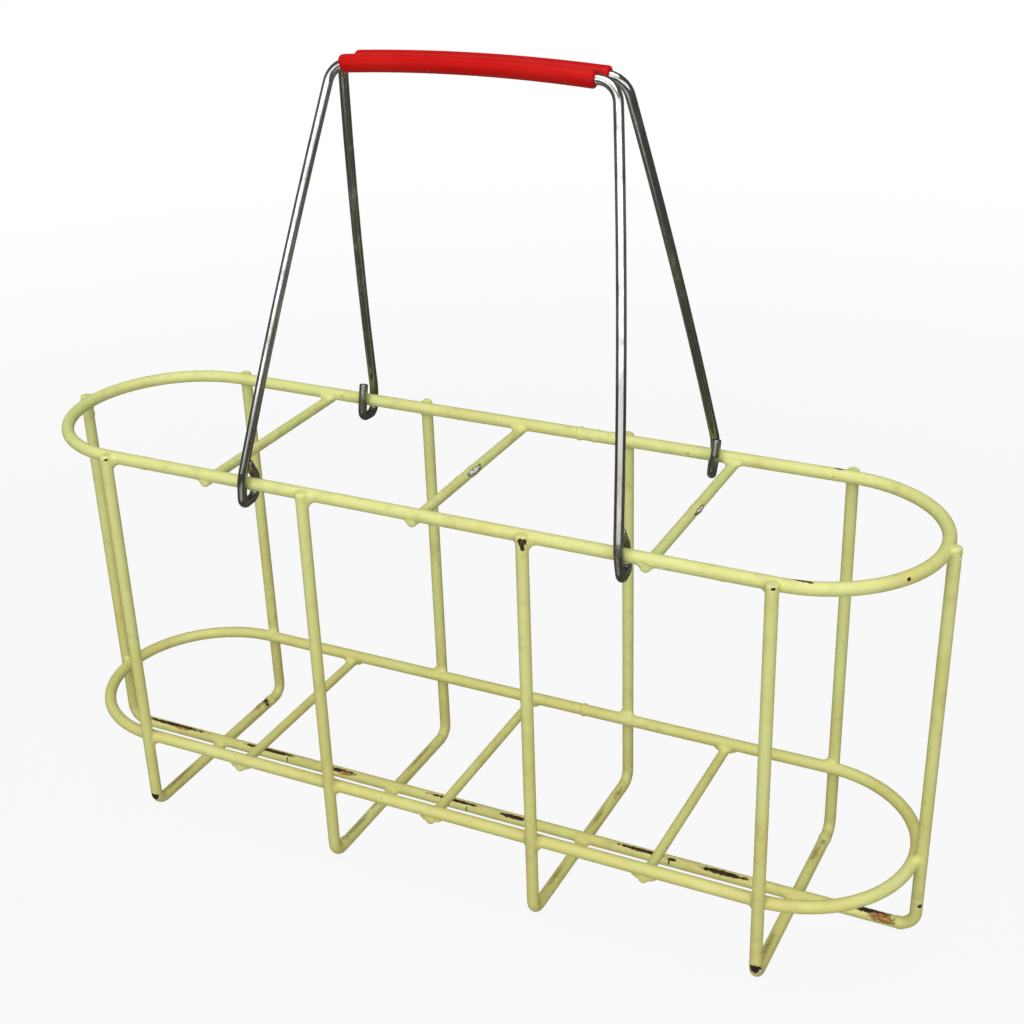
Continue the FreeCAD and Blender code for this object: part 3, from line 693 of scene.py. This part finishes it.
def rest_ball(first, second, ball, middle, normal, outward):
    """The middle of a ball that touches both wires, and what is left of its two gaps.

    The ball moves only along outward and along normal.
    """
    out = ball + FIRST_OUT
    lift = 0.0
    for _ in range(MOST_STEPS):
        point = middle + outward*out + normal*lift
        one = gap(first, ball, point)
        two = gap(second, ball, point)
        if abs(one) + abs(two) < CLOSE_ENOUGH:
            break
        one_out = (gap(first, ball, point + outward*TRIAL_STEP) - one)/TRIAL_STEP
        two_out = (gap(second, ball, point + outward*TRIAL_STEP) - two)/TRIAL_STEP
        one_lift = (gap(first, ball, point + normal*TRIAL_STEP) - one)/TRIAL_STEP
        two_lift = (gap(second, ball, point + normal*TRIAL_STEP) - two)/TRIAL_STEP
        size = one_out*two_lift - one_lift*two_out
        if abs(size) < TOO_FLAT:
            break
        change_out = (two_lift*one - one_lift*two)/size
        change_lift = (one_out*two - two_out*one)/size
        out -= max(-LONGEST_STEP, min(LONGEST_STEP, change_out))
        lift -= max(-LONGEST_STEP, min(LONGEST_STEP, change_lift))
    point = middle + outward*out + normal*lift
    return point, abs(gap(first, ball, point)) + abs(gap(second, ball, point))


print("the ball stops once its gaps are under", f"{CLOSE_ENOUGH/MM:.5f}", "mm")

# %% [markdown]
# At each stop the web is the short arc of the ball between the two points where it touches. The
# arc is a chain of vertices, and extruding the chain from stop to stop round the weld makes the
# sheet. A faceted tube could be bent to the same place, but its edges would never lie so exactly
# on both wires.

# %% One stop of the web
WEB_ARC = 6
WEB_SINK = 0.04*MM


def web_arc(first, second, ball, centre):
    """Points of the web from one touching point to the other, sunk a hair into both wires."""
    low = (first.nearest(centre) - centre).normalized()
    high = (second.nearest(centre) - centre).normalized()
    turn = low.angle(high)
    points = []
    for step in range(WEB_ARC + 1):
        part = step/WEB_ARC
        aim = low*math.sin((1 - part)*turn) + high*math.sin(part*turn)
        sink = WEB_SINK*abs(2*part - 1)
        points.append(centre + aim.normalized()*(ball + sink))
    return points


def extrude_chain(shape, old_chain, points):
    """Extrude a chain of vertices to new points, and return the new chain."""
    edges = [shape.edges.get(pair) for pair in zip(old_chain, old_chain[1:])]
    grown = bmesh.ops.extrude_edge_only(shape, edges=edges)["geom"]
    fresh = {item for item in grown if isinstance(item, bmesh.types.BMVert)}
    chain = []
    for old in old_chain:
        reached = [edge.other_vert(old) for edge in old.link_edges]
        chain.append(next(vertex for vertex in reached if vertex in fresh))
    for vertex, point in zip(chain, points):
        vertex.co = point
    return chain


print("points in each arc of a web:", WEB_ARC + 1)

# %% [markdown]
# A web is grown by going once round the weld, looking along the line between the two wires. The
# last chain lands on the first one, so merging the two closes the web.

# %% Grow one web
WEB_STEPS = 48
WEB_MERGE = 0.02*MM


def grow_web(shape, first, second, ball, on_first, on_second):
    """Leave the web of one weld in the mesh, and return the worst miss of the ball in metres."""
    middle = (Vector(on_first) + Vector(on_second))/2
    normal = (Vector(on_second) - Vector(on_first)).normalized()
    side = normal.orthogonal().normalized()
    across = normal.cross(side)
    worst = 0.0
    chains = []
    for step in range(WEB_STEPS + 1):
        angle = 2*math.pi*step/WEB_STEPS
        outward = side*math.cos(angle) + across*math.sin(angle)
        centre, miss = rest_ball(first, second, ball, middle, normal, outward)
        worst = max(worst, miss)
        points = web_arc(first, second, ball, centre)
        if chains:
            chains.append(extrude_chain(shape, chains[-1], points))
            continue
        chain = [bmesh.ops.create_vert(shape, co=point)["vert"][0] for point in points]
        for pair in zip(chain, chain[1:]):
            shape.edges.new(pair)
        chains.append(chain)
    bmesh.ops.remove_doubles(shape, verts=chains[0] + chains[-1], dist=WEB_MERGE)
    return worst


print("faces in each web:", WEB_STEPS*WEB_ARC)

# %% [markdown]
# The welds follow the plan of the basket: four legs on each side meet two rings, a leg at each end
# does the same, three dividers lie under each ring, and the long floor wire crosses four feet. The
# sizes are the wires' own.

# %% The plan of the basket
SIDES = (-1, 1)
BAYS = 4
BAY = 100.4*MM
TOP_RISE = 183.3*MM
LOW_RISE = 38.8*MM
RAIL_PLACE = 50.0*MM
LOW_PLACE = 50.5*MM
ROUND_END = 151.2*MM
LOW_RIGHT_END = 149.33*MM
LEG_PLACE = 53.75*MM
LEG_TOP = 185.6*MM
LEG_BEND = 20.0*MM
LEG_PLACES = [BAY*(bay - (BAYS - 1)/2) for bay in range(BAYS)]
DIVIDER_PLACES = [BAY*(bay - BAYS/2) for bay in range(1, BAYS)]
END_PLACE = ROUND_END + LEG_PLACE
RIGHT_TOP_IN = 0.5*MM
RIGHT_FOOT_IN = 2.05*MM
TOP_DROP = 2.85*MM
LOW_DROP = 3.6*MM
DIVIDER_PROUD = 2.6*MM
CROSSING = 4.7*MM
FOOT_REACH = 40.0*MM
CROSSING_REACH = 30.0*MM


def rail(side, place, rise):
    """A straight rail of a ring, on the front side (-1) or the back side (1)."""
    start = (-ROUND_END, side*place, rise)
    end = (ROUND_END, side*place, rise)
    return Rod(start, end, RAIL_RADIUS, RAIL_RADIUS)


def upright(foot_x, top_x, y):
    """A leg from above its bend up to its rounded top."""
    return Rod((foot_x, y, LEG_BEND), (top_x, y, LEG_TOP - COAT_EDGE), LEG_RADIUS, COAT_EDGE)


def divider(x, rise, place):
    """A divider with its rounded ends."""
    reach = place + DIVIDER_PROUD - COAT_EDGE
    return Rod((x, -reach, rise), (x, reach, rise), DIVIDER_RADIUS, COAT_EDGE)


print("legs stand at", [round(x/MM, 1) for x in LEG_PLACES], "mm and end at", LEG_TOP/MM, "mm")

# %% [markdown]
# Each weld is now written down as its two wires, the ball that rolls between them and a point on
# each wire's middle line. The webs on the top ring are a little fuller than those low down, and at
# each ring the dividers' webs are the fullest, so each kind of weld has a ball of its own size.

# %% Where the welds are
LEG_WEB = 3.0*MM
LOW_LEG_WEB = 2.4*MM
DIVIDER_WEB = 3.4*MM
LOW_DIVIDER_WEB = 2.6*MM
CROSSING_WEB = 2.2*MM

# The side, the leg's top and foot, and where the bottom ring's round end begins.
END_LEGS = (
    (-1, -END_PLACE, -END_PLACE, ROUND_END),
    (1, END_PLACE - RIGHT_TOP_IN, END_PLACE - RIGHT_FOOT_IN, LOW_RIGHT_END),
)

welds = []
for leg_x in LEG_PLACES:
    for side in SIDES:
        leg = upright(leg_x, leg_x, side*LEG_PLACE)
        for place, rise, ball in ((RAIL_PLACE, TOP_RISE, LEG_WEB),
                                  (LOW_PLACE, LOW_RISE, LOW_LEG_WEB)):
            on_rail = (leg_x, side*place, rise)
            on_leg = (leg_x, side*LEG_PLACE, rise)
            welds.append((rail(side, place, rise), leg, ball, on_rail, on_leg))
    on_foot = Vector((leg_x, 0.0, LEG_RADIUS))
    on_long = Vector((leg_x, 0.0, CROSSING))
    half_foot = Vector((0.0, FOOT_REACH, 0.0))
    half_long = Vector((CROSSING_REACH, 0.0, 0.0))
    foot = Rod(on_foot - half_foot, on_foot + half_foot, LEG_RADIUS, LEG_RADIUS)
    long_wire = Rod(on_long - half_long, on_long + half_long, LEG_RADIUS, LEG_RADIUS)
    welds.append((foot, long_wire, CROSSING_WEB, on_foot, on_long))
for side, top_x, foot_x, low_end in END_LEGS:
    end_leg = upright(foot_x, top_x, 0.0)
    for middle, place, rise, ball in ((ROUND_END, RAIL_PLACE, TOP_RISE, LEG_WEB),
                                      (low_end, LOW_PLACE, LOW_RISE, LOW_LEG_WEB)):
        round_end = Bend((side*middle, 0.0, rise), place, RAIL_RADIUS)
        on_ring = Vector((side*(middle + place), 0.0, rise))
        welds.append((round_end, end_leg, ball, on_ring, end_leg.nearest(on_ring)))
for x in DIVIDER_PLACES:
    for side in SIDES:
        for place, rise, drop, ball in ((RAIL_PLACE, TOP_RISE, TOP_DROP, DIVIDER_WEB),
                                        (LOW_PLACE, LOW_RISE, LOW_DROP, LOW_DIVIDER_WEB)):
            on_rail = (x, side*place, rise)
            on_divider = (x, side*place, rise - drop)
            cross_wire = divider(x, rise - drop, place)
            welds.append((rail(side, place, rise), cross_wire, ball, on_rail, on_divider))
print("welds:", len(welds))

# %% Make the webs
web_shape = bmesh.new()
misses = [grow_web(web_shape, *weld) for weld in welds]
bmesh.ops.recalc_face_normals(web_shape, faces=web_shape.faces)
for face in web_shape.faces:
    face.smooth = True
web_mesh = bpy.data.meshes.new("coat_webs")
web_shape.to_mesh(web_mesh)
web_shape.free()
webs = bpy.data.objects.new("coat_webs", web_mesh)
bpy.context.scene.collection.objects.link(webs)
web_mesh.materials.append(plain_coat)
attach(webs, "basket")
print("web faces:", len(web_mesh.polygons), "worst miss, mm:", round(max(misses)/MM, 4))

# %% [markdown]
# The dip was not even. It left drops where it ran, thick cuffs where it was torn and pushed back on
# the feet, and a swelling round each old break. Each of these is a lump of coat: a small ball,
# stretched, roughened a little and sunk into its wire until only its skin shows. A lump carries the
# coat of the wire that it sits on, so a chip runs on across it.

# %% Lumps, cuffs and swellings of coat

# The wire, then the middle and the half-lengths of each lump in millimetres.
LUMPS = {
    "leg_frame_1": [((-150.6, 43.6, 2.8), (2.95, 3.6, 2.75)), ((-150.6, 35.6, 2.85), (2.8, 4.0, 2.75)),
                    ((-150.4, 42.0, 5.3), (1.5, 0.9, 0.6)), ((-148.4, 39.2, 3.8), (0.6, 0.8, 1.4))],
    "leg_frame_2": [((-50.2, 54.0, 185.0), (2.1, 2.0, 1.2)), ((-50.4, -46.0, 3.0), (2.8, 5.0, 2.8))],
    "leg_frame_4": [((150.7, 46.0, 3.0), (2.85, 5.6, 2.8)), ((152.9, -54.6, 8.6), (0.7, 0.9, 1.0))],
    "end_frame": [((206.6, -0.2, 182.9), (0.7, 0.9, 0.7)), ((206.4, -1.0, 180.9), (0.7, 0.8, 0.9)),
                  ((206.1, -1.2, 178.6), (0.8, 0.7, 0.6)), ((202.9, -0.2, 19.6), (2.7, 2.7, 2.2)),
                  ((-204.9, 0.0, 176.0), (2.8, 2.8, 4.0)), ((196.0, 0.0, 4.8), (4.0, 2.75, 2.75))],
    "top_divider_2": [((0.2, 1.4, 180.6), (2.5, 9.5, 2.4)), ((-0.2, -9.6, 180.4), (2.35, 5.0, 2.35))],
    "top_divider_3": [((100.5, 3.2, 180.5), (2.4, 7.0, 2.35))],
    "top_ring": [((36.5, 50.0, 183.3), (4.6, 2.95, 2.95)), ((44.0, 49.9, 183.4), (2.6, 2.9, 2.9)),
                 ((98.6, -52.2, 182.0), (1.3, 0.6, 0.7)), ((103.0, -52.3, 182.9), (1.6, 0.6, 0.8)),
                 ((107.0, -52.0, 181.8), (1.2, 0.6, 0.6)), ((-133.0, -50.0, 183.2), (5.0, 2.85, 2.9)),
                 ((130.0, -50.1, 183.2), (6.0, 2.85, 2.9))],
}

# Coat has gathered under the bottom ring at each divider's end.
HANG_OUT = 50.6
HANG_RISE = 36.1
HANG_HALF = (5.6, 2.4, 2.4)
LUMPS["bottom_ring"] = [((x/MM, side*HANG_OUT, HANG_RISE), HANG_HALF)
                        for x in DIVIDER_PLACES for side in SIDES]
print("lumps:", sum(len(lumps) for lumps in LUMPS.values()))

# %% Make the lumps
LUMP_FINENESS = 4
LUMP_ROUGH = 0.07
RIPPLE_SCALE = 1.7
RIPPLE_SHIFT = 0.37

for node_name, lumps in LUMPS.items():
    lump_shape = bmesh.new()
    for middle, half in lumps:
        ball = bmesh.ops.create_icosphere(lump_shape, subdivisions=LUMP_FINENESS, radius=1.0)
        for vertex in ball["verts"]:
            spot = vertex.co.copy()
            ripple = mathutils.noise.noise(spot*RIPPLE_SCALE + Vector(middle)*RIPPLE_SHIFT)
            grown = spot*(1.0 + LUMP_ROUGH*ripple)
            vertex.co = Vector([(m + h*g)*MM for m, h, g in zip(middle, half, grown)])
    for face in lump_shape.faces:
        face.smooth = True
    lump_mesh = bpy.data.meshes.new(f"coat_lumps_{node_name}")
    lump_shape.to_mesh(lump_mesh)
    lump_shape.free()
    lump_object = bpy.data.objects.new(f"coat_lumps_{node_name}", lump_mesh)
    bpy.context.scene.collection.objects.link(lump_object)
    lump_mesh.materials.append(coats.get(node_name, plain_coat))
    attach(lump_object, "basket")
    print(node_name, "carries", len(lumps), "lumps,", len(lump_mesh.polygons), "faces")
